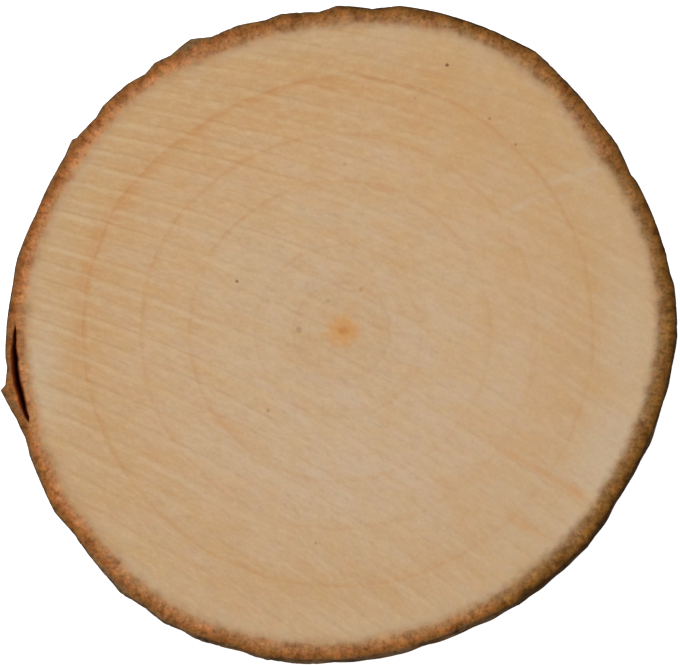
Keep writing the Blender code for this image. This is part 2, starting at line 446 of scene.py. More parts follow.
large_chips = np.clip(ring_noise(size=0.9, seed=7.0) - CHIP_FROM, 0, 1)
chips = large_chips + SMALL_CHIP * np.clip(ring_noise(size=0.4, seed=9.0), 0, 1)
edge = outline + EDGE_RELIEF * bark_relief[:, 0]
edge = edge - CHIP_BITE * (chips - chips.mean()) * left_whole
foot = bark_radius(0.0) + bark_relief[:, -1]
inner_lip, outer_lip = crack_middle - crack_half, crack_middle + crack_half

section_radius, section_height = [], []


def add_to_section(radius, height):
    """One more point on every column's section."""
    section_radius.append(np.broadcast_to(radius, COLUMNS))
    section_height.append(np.broadcast_to(height, COLUMNS))


for share in np.linspace(0, 1, INNER_STEPS + 1)[:-1]:
    add_to_section(cambium + (inner_lip - cambium) * share, THICKNESS)
CRACK_START = len(section_radius)
CRACK_STATIONS = [  # share of the crack's half width, and of its depth
    (-1.0, 0.0), (-0.84, 0.03), (-0.6, 0.1), (-0.4, 0.3), (-0.2, 1.0),
    (0.2, 1.0), (0.4, 0.3), (0.62, 0.1), (0.84, 0.03), (1.0, 0.0),
]
for side, deep in CRACK_STATIONS:
    add_to_section(crack_middle + crack_half * side, THICKNESS - crack_depth * deep)
rim_start = edge - RIM
for share in np.linspace(0, 1, OUTER_STEPS + 1)[1:]:
    add_to_section(outer_lip + (rim_start - outer_lip) * share, THICKNESS)
RIM_START = len(section_radius) - 1
add_to_section(edge - RIM * RIM_BEVEL, THICKNESS - RIM * RIM_BEVEL)
add_to_section(edge, THICKNESS - RIM)
SIDE_START = len(section_radius)
for step in range(SIDE_STEPS):
    add_to_section(side_radii[:, step] + bark_relief[:, step], side_heights[step])
SIDE_END = len(section_radius)
add_to_section(foot, RIM)
add_to_section(foot - RIM * RIM_BEVEL, RIM * RIM_BEVEL)
for share in np.linspace(0, 1, FOOT_STEPS + 1):
    add_to_section(foot - RIM + (cambium - foot + RIM) * share, 0.0)
section_radius = np.stack(section_radius, axis=1)
section_height = np.stack(section_height, axis=1)
STATIONS = section_radius.shape[1]
print(STATIONS, "points in each section")

# %% [markdown]
# The cut bark is rougher than the wood. It has the same grooves, but grains have crumbled out of it
# and its rim is chipped. A section swept along a curve would be the same all the way round, so each
# point of each section is placed by itself.

# %% Make the bark
GRAIN_SIZE, GRAIN_DEPTH = 0.3, 0.06  # of the rough cut bark
GRAIN_GROWS, CHIPS_FADE = 4, 4  # grains start at the cambium, and chips end soon inside the rim

bark_xy = stem_middle(section_height) + outwards[:, None] * section_radius[..., None]
bark_z = section_height.copy()
for station in range(STATIONS):
    x, y = bark_xy[:, station, 0], bark_xy[:, station, 1]
    layer = np.clip((section_radius[:, station] - cambium) / (outline - cambium), 0, 1)
    if station < SIDE_START:
        grains = 0.5 + 0.5 * noise_at(x / GRAIN_SIZE, y / GRAIN_SIZE, np.full(COLUMNS, 2.0))
        bark_z[:, station] -= groove_depth(x, y, ABOVE)
        bark_z[:, station] -= GRAIN_DEPTH * grains * np.minimum(layer * GRAIN_GROWS, 1)
        bark_z[:, station] -= CHIP_DEPTH * chips * layer ** CHIPS_FADE
    elif station > SIDE_END + 1:
        bark_z[:, station] += groove_depth(x, y, BELOW)
bark_points = np.concatenate([bark_xy, bark_z[..., None]], axis=2).reshape(-1, 3)
bark_faces = []
for column in range(COLUMNS):
    here, there = column * STATIONS, (column + 1) % COLUMNS * STATIONS
    for station in range(STATIONS):
        after = (station + 1) % STATIONS
        bark_faces.append((here + station, here + after, there + after, there + station))
bark = new_piece("bark", bark_points, bark_faces)
print(bark.name, "has", len(bark.data.polygons), "faces")

# %% [markdown]
# The finishes are procedural: they are worked out from numbers stored at each point of the mesh, and
# not from a picture. Some numbers say where in the stem a point is, such as its growth, its distance
# from the bark's outer side or its saw stroke. Others are soft stains, listed one by one. Because both
# pieces carry the same numbers, the two finishes meet at the cambium without a seam.

# %% Soft stains on the cut face
STAINS = {  # x and y from the pith, half length and half width in mm, turn in degrees, strength
    "bleached": [
        (20.0, -16.5, 7.0, 5.0, 40, 0.4), (-28.6, -6.6, 2.6, 1.3, 105, 0.8),
        (27.8, 0.1, 5.5, 2.6, 95, 0.8), (-29.1, -3.3, 5.0, 1.6, 80, 0.8),
        (-2.2, -27.6, 8.5, 1.4, 0, 0.3), (1.2, 28.0, 8.0, 1.2, 0, 0.4),
        (25.7, -11.5, 5.5, 3.2, 60, 1.2), (-7.5, 6.5, 6.0, 3.5, 150, 0.5),
        (0.5, -14.5, 9.0, 6.0, 0, 0.5), (-12.5, -10.6, 4.2, 1.3, -28, 0.5),
        (22.0, 14.9, 3.6, 0.4, 17, 0.9), (17.4, 12.2, 2.6, 0.35, 28, 0.8),
        (19.6, 12.6, 2.6, 0.3, 12, 0.5),
    ],
    "stained": [
        (-16.7, 22.3, 5.0, 2.6, 35, 0.7), (-24.9, -15.9, 6.0, 3.0, -55, 0.7),
        (-12.6, -23.9, 1.6, 0.9, -30, 1.0), (27.0, 8.8, 4.0, 2.4, 75, 0.5),
        (14.0, 22.0, 8.0, 3.0, -30, 0.7), (-3.0, 25.0, 10.0, 2.4, 5, 0.8),
        (-4.0, -25.5, 9.0, 2.4, -5, 0.9), (20.0, 18.0, 5.0, 2.5, -50, 0.5),
    ],
    "orange": [
        (18.6, -13.2, 5.2, 0.3, -31, 0.7), (22.6, -15.5, 1.2, 0.45, -38, 1.0),
        (17.9, -19.0, 2.2, 0.4, -30, 0.7), (22.5, -7.6, 1.5, 0.5, -40, 0.5),
        (8.5, 24.7, 2.0, 0.5, -20, 0.6), (-1.2, 23.8, 2.5, 0.6, 2, 0.7),
        (-13.8, 19.5, 2.6, 0.6, 35, 0.8), (-17.8, 16.1, 2.0, 0.4, 48, 0.9),
        (-7.2, 22.7, 3.0, 0.3, 20, 0.8), (-20.6, 13.0, 2.6, 0.7, 57, 1.0),
        (-23.6, 9.4, 2.2, 0.6, 68, 0.9), (-24.8, 5.8, 2.4, 0.6, 75, 1.0),
        (-25.6, -0.4, 1.0, 0.5, 90, 0.9), (-10.8, -9.4, 3.6, 0.4, -35, 0.6),
    ],
    "greyed": [  # on the cut bark
        (-31.35, -7.55, 1.7, 0.09, -55, 0.9), (-15.0, 27.6, 1.6, 0.5, 28, 0.8),
        (-23.3, -23.0, 6.0, 0.45, 135, 0.6), (-17.0, -28.2, 2.5, 0.5, 150, 0.5),
    ],
}


def stain(patches, x, y):
    """Strength from 0 to 1 of a set of soft oval patches at each point."""
    strongest = np.zeros_like(x)
    for middle_x, middle_y, half_length, half_width, turn, strength in patches:
        turn = math.radians(turn)
        east, north = x - PITH[0] - middle_x, y - PITH[1] - middle_y
        length = (east * math.cos(turn) + north * math.sin(turn)) / half_length
        width = (north * math.cos(turn) - east * math.sin(turn)) / half_width
        strongest = np.maximum(strongest, strength * np.exp(-(length ** 2 + width ** 2)))
    return strongest


print("stains:", {name: len(patches) for name, patches in STAINS.items()})

# %% [markdown]
# Most of what shows on the cut depends on how far out a point lies, and on which side. The wood is
# warmer at the top, the bark darker at the lower right, and the saw tore most at the upper left. A
# finish could work this out from the place alone, but then it couldn't reach the measured outline or
# the listed cambium. So each point is given its numbers here. The first one, its growth, is how
# far out in the stem it grew.

# %% Store the numbers on both pieces
RING_SHIFT = 0.018  # the rings are wider on the right, by this share
FLAT_ANGLE, FLAT_SPREAD = 122.0, 22.0  # degrees; the outer rings are flatter on this side
FLATTENED = 0.85  # by so many mm
FLAT_REACH, FLAT_GROWS = 24.0, 4  # it grows to its full size at this distance from the pith
UNDERSIDE_RUN = 60.0  # moves the underside's strokes along, so that they don't mirror the upper ones
SHADE_CORNERS = [  # angle in degrees, and how dark the bark is there
    (7, 0.92), (22, 0.83), (37, 0.48), (52, 0.52), (67, 0.66), (82, 0.56), (97, 0.42), (112, 0.15),
    (140, 0.02), (170, 0.0), (200, 0.08), (217, 0.14), (232, 0.2), (247, 0.26), (262, 0.4), (280, 0.28),
    (293, 0.42), (306, 0.88), (322, 0.95), (335, 1.15), (352, 1.15),
]
WARM_ANGLE = math.radians(105)  # the wood is more ochre on this side, from about this far out
WARM_REACH = 16.0
WARM_SHARE = 0.6
TORN_ANGLE = math.radians(152)  # the saw's strokes are strongest towards the rim on this side
TORN_REACH = 30.0
TORN_BREADTH = 0.8  # below 1, the torn side is broader
TORN_GROWS = 1.3  # how fast it gets stronger towards the rim
FRESH_EDGE = 16.0  # the finest marks are worn to the right of this, and whole to the left of the next
FRESH_CORE = 2.0
SKIN_ON_RIM = 0.6  # share of the outer side's finish on the rim

shade_angles, shade_levels = zip(*SHADE_CORNERS)


def ring_value(values, turn):
    """A value of the ring of columns at any angle."""
    return np.interp(turn, turns, values, period=math.tau)


def store(piece, name, values):
    """Keeps one number for each point of a mesh under a name that a material can read."""
    attribute = piece.data.attributes.new(name, "FLOAT", "POINT")
    attribute.data.foreach_set("value", np.asarray(values, dtype=np.float32))


def store_stem_numbers(piece, points, on_skin, in_crack):
    """All the numbers that the finishes read."""
    x, y, z = points.T
    from_middle = points[:, :2] - stem_middle(z)
    radius = np.hypot(from_middle[:, 0], from_middle[:, 1])
    turn = np.arctan2(from_middle[:, 1], from_middle[:, 0])
    under = z < THICKNESS / 2
    flatter = np.exp(-((np.degrees(turn) - FLAT_ANGLE) / FLAT_SPREAD) ** 2)
    flatter *= (radius / FLAT_REACH).clip(0, 1) ** FLAT_GROWS
    store(piece, "growth", radius * (1 + RING_SHIFT * np.cos(turn)) + FLATTENED * flatter)
    store(piece, "depth", ring_value(outline, turn) - radius)
    store(piece, "inward", ring_value(cambium, turn) - radius)
    store(piece, "stroke", saw_stroke(x, y))
    store(piece, "pull", saw_pull(saw_stroke(x, y)))
    store(piece, "run", along_stroke(x, y) + UNDERSIDE_RUN * under)
    for name, patches in STAINS.items():
        store(piece, name, stain(patches, x, y))
    store(piece, "shade_side", np.interp(np.degrees(turn), shade_angles, shade_levels, period=360))
    warm_side = np.cos(turn - WARM_ANGLE) * np.clip(radius / WARM_REACH, 0, 1)
    store(piece, "warm_side", 1 - WARM_SHARE + WARM_SHARE * warm_side)
    torn_share = np.clip(np.cos(turn - TORN_ANGLE), 0, 1) ** TORN_BREADTH
    store(piece, "torn_side", torn_share * (radius / TORN_REACH) ** TORN_GROWS)
    store(piece, "fresh_side", np.clip((FRESH_EDGE - x) / (FRESH_EDGE - FRESH_CORE), 0, 1))
    store(piece, "skin", on_skin)
    store(piece, "crack", in_crack)


wood_zeros = np.zeros(len(wood_points))
store_stem_numbers(sawn_wood, wood_points, wood_zeros, wood_zeros)
on_skin = np.zeros((COLUMNS, STATIONS))
on_skin[:, RIM_START + 2:SIDE_END + 1] = 1.0
on_skin[:, RIM_START + 1] = SKIN_ON_RIM
in_crack = np.zeros((COLUMNS, STATIONS))
for index, (_, deep) in enumerate(CRACK_STATIONS):
    in_crack[:, CRACK_START + index] = max(deep, LIP_TINT) * crack_depth / CRACK_DEPTH
store_stem_numbers(bark, bark_points, on_skin.ravel(), in_crack.ravel())
for name, values in (("furrow", furrow), ("fissure_force", fissure_force), ("pore", pores)):
    padding = ((0, 0), (SIDE_START, STATIONS - SIDE_END))
    store(bark, name, np.pad(values, padding, mode="edge").ravel())
print("stored", [a.name for a in bark.data.attributes if a.data_type == "FLOAT"])

# %% [markdown]
# Each piece also gets a flat map, so that its finish can be saved as a picture later. The wood's two
# faces are laid out as two circles. The bark is unrolled and cut into four strips, one below the
# other, because one long strip would waste most of a square picture.

# %% Flat maps
MAP_NAME = "OFBake"
UPPER_CIRCLE = (0.365, 0.635, 0.355)  # middle across and up, and radius, on a square of side 1
LOWER_CIRCLE = (0.785, 0.215, 0.205)
WALL_STRIP = (0.01, 0.01, 0.50, 0.02)  # left, bottom, width and height
BARK_ROWS = 4
ROW_GAP = 0.01
WIDEST = 34.0


def lay_out(piece, corners):
    """Writes one place on the flat map for each corner of each face."""
    layer = piece.data.uv_layers.new(name=MAP_NAME)
    layer.data.foreach_set("uv", np.asarray(corners, dtype=np.float32).ravel())


wood_corners = np.empty((len(sawn_wood.data.loops), 2))
corner_points = np.array([loop.vertex_index for loop in sawn_wood.data.loops])
upper_count = sum(len(face) for face in upper_faces)
lower_count = sum(len(face) for face in lower_faces)
upper_part, lower_part = slice(0, upper_count), slice(upper_count, upper_count + lower_count)
for part, circle in ((upper_part, UPPER_CIRCLE), (lower_part, LOWER_CIRCLE)):
    place = (wood_points[corner_points[part], :2] - PITH) / WIDEST
    wood_corners[part] = np.array(circle[:2]) + place * circle[2]
left, bottom, width, height = WALL_STRIP
for k in range(COLUMNS):
    first = upper_count + lower_count + 4 * k
    for corner, (step, up) in enumerate(((0, 1), (0, 0), (1, 0), (1, 1))):
        wood_corners[first + corner] = (left + width * (k + step) / COLUMNS, bottom + height * up)
lay_out(sawn_wood, wood_corners)

section_gap = np.hypot(np.diff(section_radius), np.diff(section_height)).mean(axis=0)
travel = np.r_[0, np.cumsum(section_gap), section_gap.sum() + THICKNESS]
row_columns = COLUMNS // BARK_ROWS
bark_corners = []
for column in range(COLUMNS):
    row, place = divmod(column, row_columns)
    for station in range(STATIONS):
        for step, past in ((0, 0), (0, 1), (1, 1), (1, 0)):
            across = ROW_GAP + (1 - 2 * ROW_GAP) * (place + step) / row_columns
            up = ROW_GAP + (1 - 2 * ROW_GAP) * travel[station + past] / travel[-1]
            bark_corners.append((across, (row + up) / BARK_ROWS))
lay_out(bark, bark_corners)
print("mapped", sawn_wood.name, "and", bark.name)

# %% [markdown]
# A material is a graph of small steps. Adding each step by hand in code takes several lines, so this
# helper class keeps them short. Its sizes are in millimetres. Paints are given as a screen shows
# them, from 0 to 255, and tints are shares that multiply the colour below them.

# %% Tools for finishes
def paint(red, green, blue):
    """A screen colour as the renderer's own linear numbers."""
    shares = [level / 255 for level in (red, green, blue)]
    linear = [s / 12.92 if s <= 0.04045 else ((s + 0.055) / 1.055) ** 2.4 for s in shares]
    return (*linear, 1.0)


def grey(level):
    """A grey for a colour scale that carries one number."""
    return (level, level, level, 1)


MOTTLE_SHARES = (1.5, 1.15, 2.3)  # how far red, green and blue stray when a colour is mottled
FRECKLES = [(0.3, (0.5, 0.42, 0.34, 1)), (0.7, (1.38, 1.32, 1.25, 1))]  # level of the noise, tint


class Finish:
    """One material, with short ways to add the steps of its graph."""

    def __init__(self, name):
        self.material = bpy.data.materials.new(name)
        self.material.use_nodes = True
        self.nodes = self.material.node_tree.nodes
        self.links = self.material.node_tree.links
        self.shader = self.nodes["Principled BSDF"]
        self.place = self.move("MULTIPLY", self.add("TexCoord", {}).outputs["Object"], (1 / MM,) * 3)

    def add(self, kind, inputs, **settings):
        """A node, with each input set to a value or joined to another node's output."""
        node = self.nodes.new("ShaderNode" + kind)
        for setting, value in settings.items():
            setattr(node, setting, value)
        for name, value in inputs.items():
            if isinstance(value, bpy.types.NodeSocket):
                self.links.new(value, node.inputs[name])
            else:
                node.inputs[name].default_value = value
        return node

    def stored(self, name):
        """A number that the mesh carries at each point."""
        return self.add("Attribute", {}, attribute_name=name).outputs["Fac"]

    def work(self, operation, *values):
        """One step of arithmetic on numbers."""
        return self.add("Math", dict(enumerate(values)), operation=operation).outputs[0]

    def move(self, operation, *places):
        """One step of arithmetic on places or colours."""
        return self.add("VectorMath", dict(enumerate(places)), operation=operation).outputs[0]

    def times(self, value, share):
        """A number multiplied by another one."""
        return self.work("MULTIPLY", value, share)

    def swayed(self, value, noise, reach):
        """A number that a noise moves up and down, by half the reach each way."""
        return self.work("SUBTRACT", self.work("MULTIPLY_ADD", noise, reach, value), reach / 2)

    def fade(self, value, start, end, low=0.0, high=1.0):
        """A soft change from low to high as the value passes from start to end."""
        inputs = {"Value": value, "From Min": start, "From Max": end, "To Min": low, "To Max": high}
        return self.add("MapRange", inputs, interpolation_type="SMOOTHSTEP").outputs[0]

    def stretched(self, x, y, z):
        """A place made of three numbers."""
        return self.add("CombineXYZ", {0: x, 1: y, 2: z}).outputs[0]

    def along_saw(self, share, seed):
        """A place for noise whose lumps are drawn out along the saw's strokes."""
        return self.stretched(self.stored("stroke"), self.times(self.stored("run"), share), seed)

    def cloud(self, size, detail, place=None, roughness=0.5):
        """Smooth noise from 0 to 1, with lumps of about the given size."""
        inputs = {"Vector": place or self.place, "Scale": 1 / size, "Detail": detail}
        return self.add("TexNoise", inputs | {"Roughness": roughness}).outputs["Fac"]

    def mottled(self, colour, size, strength):
        """Shifts a colour's red, green and blue a little, each by a noise of its own."""
        inputs = {"Vector": self.place, "Scale": 1 / size, "Detail": 1.0}
        shift = self.add("TexNoise", inputs).outputs["Color"]
        shares = [strength * share for share in MOTTLE_SHARES]
        tint = self.move("MULTIPLY_ADD", shift, shares, [1 - share / 2 for share in shares])
        return self.blend(1.0, colour, tint, "MULTIPLY")

    def freckled(self, colour, noise, share):
        """Darkens a colour where a noise is low and lightens it where the noise is high."""
        for level, tint in FRECKLES:
            colour = self.blend(self.fade(noise, 0.5, level, 0.0, share), colour, tint, "MULTIPLY")
        return colour

    def blend(self, share, under, over, mode="MIX"):
        """Lays one colour over another."""
        node = self.add("Mix", {0: share, 6: under, 7: over}, data_type="RGBA", blend_type=mode)
        return node.outputs[2]

    def scale(self, value, stops):
        """A colour for each value, from a list of (value, colour)."""
        node = self.add("ValToRGB", {0: value})
        ramp = node.color_ramp
        while len(ramp.elements) < len(stops):
            ramp.elements.new(1.0)
        for element, (place, colour) in zip(ramp.elements, stops):
            element.position = place
            element.color = colour
        return node.outputs["Color"]

    def painted(self, value, stops):
        """The same, from screen colours."""
        return self.scale(value, [(place, paint(*colour)) for place, colour in stops])


print("a mid grey is", round(paint(128, 128, 128)[0], 3))

# %% [markdown]
# The wood's colour is built up as a painter would: a ground colour that changes from ring to ring,
# pinkish grey near the pith and honey further out, cooler and warmer patches that follow the saw's
# strokes, the stains, a fine mottling, the rings, the pith, the strokes and the finest grain. Every
# layer is weak. The pale wood only looks right when none of them stands out.

# %% Ground colour of the wood
GROWTH_RANGE = 34.0
GROUND_SWAY = 2.4  # how far in or out noise moves the ground colour, from end to end, in mm
COOLEST, WARMEST = (1.0, 1.04, 1.165, 1), (1.0, 0.93, 0.80, 1)  # multiply the ground colour
WARMTH = 0.35  # how much of the way between the two the wood is
WARMTH_CHANGE = 2.3  # how far noise moves that, from end to end
WARM_SIDE_ADDS = 0.5
PALE_WOOD = paint(196, 172, 142)
STAIN_PAINTS = [("bleached", 0.7, PALE_WOOD), ("stained", 0.45, paint(194, 152, 102))]
MOTTLING = [(1.5, 0.05), (0.6, 0.06)]  # size in mm and strength
GROUND = [  # growth in mm and the wood's colour there
    (1.0, (196, 162, 122)), (4.5, (196, 164, 127)), (6.5, (198, 167, 131)), (12.0, (198, 166, 128)),
    (16.5, (198, 164, 125)), (20.5, (197, 161, 119)), (24.5, (195, 158, 114)), (28.5, (195, 161, 119)),
]


def wood_ground(finish):
    """The broad colour of the wood, without rings or marks."""
    swayed = finish.swayed(finish.stored("growth"), finish.cloud(6.0, 3.0), GROUND_SWAY)
    growth = finish.work("DIVIDE", swayed, GROWTH_RANGE)
    ground = finish.painted(growth, [(mm / GROWTH_RANGE, colour) for mm, colour in GROUND])
    patches = finish.cloud(2.4, 3.0, finish.along_saw(0.5, 7.0), roughness=0.65)
    warmth = finish.swayed(WARMTH, patches, WARMTH_CHANGE)
    warmth = finish.work("MULTIPLY_ADD", finish.stored("warm_side"), WARM_SIDE_ADDS, warmth)
    ground = finish.blend(1.0, ground, finish.blend(warmth, COOLEST, WARMEST), "MULTIPLY")
    for name, strength, colour in STAIN_PAINTS:
        ground = finish.blend(finish.times(finish.stored(name), strength), ground, colour)
    for size, strength in MOTTLING:
        ground = finish.mottled(ground, size, strength)
    return ground


print("ground colour ready, with", len(GROUND), "stops")

# %% [markdown]
# A growth ring darkens slowly from the inside and ends sharply, because the wood made late in a
# summer is denser than the next spring's. The rings are stops on one scale of growth. Noise bends
# them a little and makes each one fade and return as it goes round. They are fainter on the right,
# where the face is worn. Near the pith the wood also has a much finer set of rings, too weak to
# count, which plain noise over the growth makes.

# %% Growth rings
RINGS = [(4.2, 0.3), (8.4, 0.5), (14.6, 0.65), (19.2, 0.75), (24.7, 1.15)]  # growth in mm, strength
RING_RISE, RING_FALL = 0.5, 0.16  # width in mm of its slow darkening, and of its sharp end
RING_STRENGTH, RING_PAINT = 0.62, paint(188, 134, 80)
ORANGE_STRENGTH, ORANGE_PAINT = 0.75, paint(196, 142, 88)
FINE_RING_STRENGTH, FINE_RING_PAINT = 0.38, paint(184, 142, 100)
FINE_RING_END, FINE_RING_FULL = 11.0, 2.0  # growth in mm


def ring_lines(finish):
    """Strength of the ring lines, from 0 to 1."""
    bent = finish.swayed(finish.stored("growth"), finish.cloud(5.0, 2.0), 0.6)
    stops = [(0.0, grey(0))]
    for growth, strength in RINGS:
        for shift, level in ((-RING_RISE, 0), (0.0, strength), (RING_FALL, 0)):
            stops.append(((growth + shift) / GROWTH_RANGE, grey(level)))
    lines = finish.scale(finish.work("DIVIDE", bent, GROWTH_RANGE), stops)
    broken = finish.fade(finish.cloud(3.0, 3.0), 0.36, 0.62, 0.4, 1.0)
    sided = finish.fade(finish.stored("warm_side"), -0.1, 0.9, 0.6, 1.2)
    worn = finish.fade(finish.stored("fresh_side"), 0.0, 1.0, 0.68, 1.0)
    return finish.times(lines, finish.times(finish.times(broken, sided), worn))


def with_rings(finish, colour):
    """The ring lines over a colour, with the finest rings near the pith."""
    swayed = finish.work("MULTIPLY_ADD", finish.cloud(1.2, 2.0), 0.5, finish.stored("growth"))
    fine = finish.cloud(0.75, 1.0, finish.stretched(swayed, 0.0, 0.0))
    near = finish.fade(
        finish.stored("growth"), FINE_RING_END, FINE_RING_FULL, 0.0, FINE_RING_STRENGTH)
    colour = finish.blend(finish.times(finish.fade(fine, 0.5, 0.3), near), colour, FINE_RING_PAINT)
    orange = finish.times(finish.stored("orange"), ORANGE_STRENGTH)
    colour = finish.blend(orange, colour, ORANGE_PAINT)
    return finish.blend(finish.times(ring_lines(finish), RING_STRENGTH), colour, RING_PAINT)


print(len(RINGS), "growth rings, the outermost at", RINGS[-1][0], "mm")

# %% [markdown]
# The pith is a soft orange spot with a darker middle, and a few small dark specks lie about the
# wood. They could be painted on a picture, but that blurs when seen closely. Here each one is the
# distance from a point, faded into a soft spot, and noise pulls its outline out of round.

# %% Pith and specks
# x and y from the pith in mm, radius in mm, strength
SPECKS = [
    (10.1, 25.7, 0.26, 1.0), (-10.2, 4.8, 0.24, 0.8), (-4.2, 0.1, 0.42, 0.36), (14.2, 20.5, 0.24, 0.45),
    (16.7, 18.0, 0.20, 0.5), (-7.2, -7.7, 0.24, 0.4), (1.8, 4.0, 0.26, 0.3), (0.2, 16.1, 0.2, 0.35),
    (-1.4, 2.9, 0.28, 0.25), (-2.6, -20.5, 0.22, 0.35), (7.0, 22.5, 0.2, 0.25),
]


PITH_WOBBLE, SPECK_WOBBLE = 1.1, 0.15  # how far noise pulls their outlines about
PITH_LAYERS = [  # where it begins and is full, in mm from the middle, its strength and its colour
    (2.1, 0.75, 1.0, paint(202, 148, 88)), (0.62, 0.1, 0.75, paint(186, 120, 54)),
]
SPECK_PAINT = paint(118, 84, 58)
SPECK_CORE = 0.3  # share of a speck's radius within which it is darkest


def from_point(finish, x, y, wobble):
    """Distance in mm from a line through the slice at a point, seen from above."""
    inputs = {"Vector": finish.place, "Scale": 1.6, "Detail": 2.0}
    shake = finish.move("SUBTRACT", finish.add("TexNoise", inputs).outputs["Color"], (0.5,) * 3)
    flat = finish.move("MULTIPLY", finish.place, (1, 1, 0))
    flat = finish.move("ADD", flat, finish.move("MULTIPLY", shake, (wobble, wobble, 0)))
    inputs = {0: flat, 1: (PITH[0] + x, PITH[1] + y, 0)}
    return finish.add("VectorMath", inputs, operation="DISTANCE").outputs["Value"]


def with_pith(finish, colour):
    """The orange pith with its darker middle."""
    reach = from_point(finish, 0.0, 0.0, PITH_WOBBLE)
    for start, full, strength, tint in PITH_LAYERS:
        colour = finish.blend(finish.fade(reach, start, full, 0.0, strength), colour, tint)
    return colour


def with_specks(finish, colour):
    """Small dark dots in the wood."""
    for x, y, radius, strength in SPECKS:
        reach = from_point(finish, x, y, SPECK_WOBBLE)
        spot = finish.fade(reach, radius, radius * SPECK_CORE, 0.0, strength)
        colour = finish.blend(spot, colour, SPECK_PAINT)
    return colour


print(len(SPECKS), "specks")

# %% [markdown]
# Each pull of the saw leaves the same set of lines: a pale band, a sharp dark line after it, a thin
# pale line and a duller stretch. They are stops on one scale, read over and over as the count of
# pulls grows. They are strong along the upper left rim, where the saw tore the fibres, and hardly
# there on the right. Between them lie finer marks, made of stretched noise: its place is made of the
# stroke number and of a share of the way along the stroke, so its lumps follow the saw.

# %% Strokes and grain
PULL_LINES = [  # share of a pull, and how pale (1) or dark (0) the wood is there
    (0.00, 0.95), (0.10, 1.0), (0.19, 0.72), (0.27, 0.1), (0.33, 0.05), (0.40, 0.45), (0.48, 0.62),
    (0.58, 0.36), (0.72, 0.30), (0.85, 0.45), (0.93, 0.7), (1.00, 0.95),
]


PULL_PAINTS = [  # level that a mark begins at and is full at, its strength and its colour
    (0.45, 1.0, 0.28, paint(214, 188, 150)), (0.45, 0.0, 0.31, paint(168, 128, 88)),
]
FINE_PAINTS = [
    (0.5, 0.25, 0.23, paint(174, 134, 94)), (0.5, 0.75, 0.23, paint(214, 186, 148)),
]
PULL_LEAST, PULL_TORN = 0.3, 0.62  # strength of the lines everywhere, and what the torn side adds
FIBRE_PAINT, DOT_PAINT = paint(250, 249, 247), paint(224, 200, 164)


def marked(finish, colour, level, paints, force):
    """Lays each paint over a colour where a number comes near that paint's own level."""
    for start, full, strength, tint in paints:
        share = finish.times(finish.fade(level, start, full, 0.0, strength), force)
        colour = finish.blend(share, colour, tint)
    return colour


def with_strokes(finish, colour):
    """Pale and dark lines along the saw's strokes, and the finest grain."""
    long_place = finish.along_saw(0.1, 0.0)
    sway = finish.cloud(2.6, 2.0, long_place)
    pull = finish.work("FRACT", finish.work("MULTIPLY_ADD", sway, 0.5, finish.stored("pull")))
    lines = finish.scale(pull, [(share, grey(level)) for share, level in PULL_LINES])
    torn = finish.work("MULTIPLY_ADD", finish.stored("torn_side"), PULL_TORN, PULL_LEAST)
    patchy = finish.fade(finish.cloud(1.1, 3.0, long_place), 0.34, 0.66, 0.35, 1.25)
    colour = marked(finish, colour, lines, PULL_PAINTS, finish.times(torn, patchy))
    fine = finish.cloud(0.42, 2.0, finish.along_saw(0.42, 4.0))
    fresh = finish.fade(finish.stored("fresh_side"), 0.0, 1.0, 0.65, 1.0)
    colour = marked(finish, colour, fine, FINE_PAINTS, fresh)
    fibres = finish.fade(finish.cloud(0.3, 1.0), 0.3, 0.7)
    colour = finish.blend(fibres, colour, FIBRE_PAINT, "MULTIPLY")
    return finish.blend(finish.fade(finish.cloud(0.16, 1.0), 0.69, 0.78, 0.0, 0.2), colour, DOT_PAINT)


print("strokes ready, with", len(PULL_LINES), "lines to a pull")

# %% [markdown]
# On the sawn face the bark shows its layers: a pinkish inner bark full of small grains, a redder
# middle, and a thin dark outer line. The bark's thickness changes round the slice, so the layers
# are placed by share of that thickness. There are two scales of colour: a light one for the left
# and a dark one for the lower right, and the rest of the way round lies between them.

# %% Layers of the cut bark
LIGHT_BARK = [  # share of the way from the outline to the cambium, and the colour there
    (0.00, (128, 92, 62)), (0.10, (131, 90, 55)), (0.22, (142, 92, 50)), (0.34, (152, 94, 50)),
    (0.46, (168, 107, 64)), (0.60, (176, 119, 76)), (0.80, (178, 126, 84)), (1.00, (182, 138, 97)),
]
DARK_BARK = [
    (0.00, (74, 52, 27)), (0.10, (90, 61, 28)), (0.20, (106, 69, 31)), (0.30, (118, 79, 36)),
    (0.45, (130, 90, 46)), (0.60, (137, 98, 57)), (0.80, (146, 109, 72)), (1.00, (160, 125, 90)),
]


LEAST_THICKNESS = 0.3
LAYER_SWAY = 0.5  # how far noise moves the layers, from end to end, as a share of the thickness
GREYED_PAINT = paint(118, 96, 68)
OLIVE_TINT = (0.8, 0.88, 0.8, 1)
OUTER_LINE_TINT = (0.42, 0.45, 0.5, 1)
GRAIN_WIDTH, GRAIN_DRAWN = 0.55, 0.8  # below 1, the grains are longer inwards than they are wide


def bark_grain(finish, depth):
    """Noise with grains that are a little longer from the outline inwards than they are wide."""
    flat = finish.move("MULTIPLY", finish.place, (1, 1, 0))
    spoke = finish.move("NORMALIZE", finish.move("SUBTRACT", flat, (*PITH, 0)))
    around = finish.move("MULTIPLY", spoke, (BARK_RADIUS,) * 3)
    inwards = finish.stretched(0.0, 0.0, finish.times(depth, GRAIN_DRAWN))
    return finish.cloud(GRAIN_WIDTH, 1.5, finish.move("ADD", around, inwards))


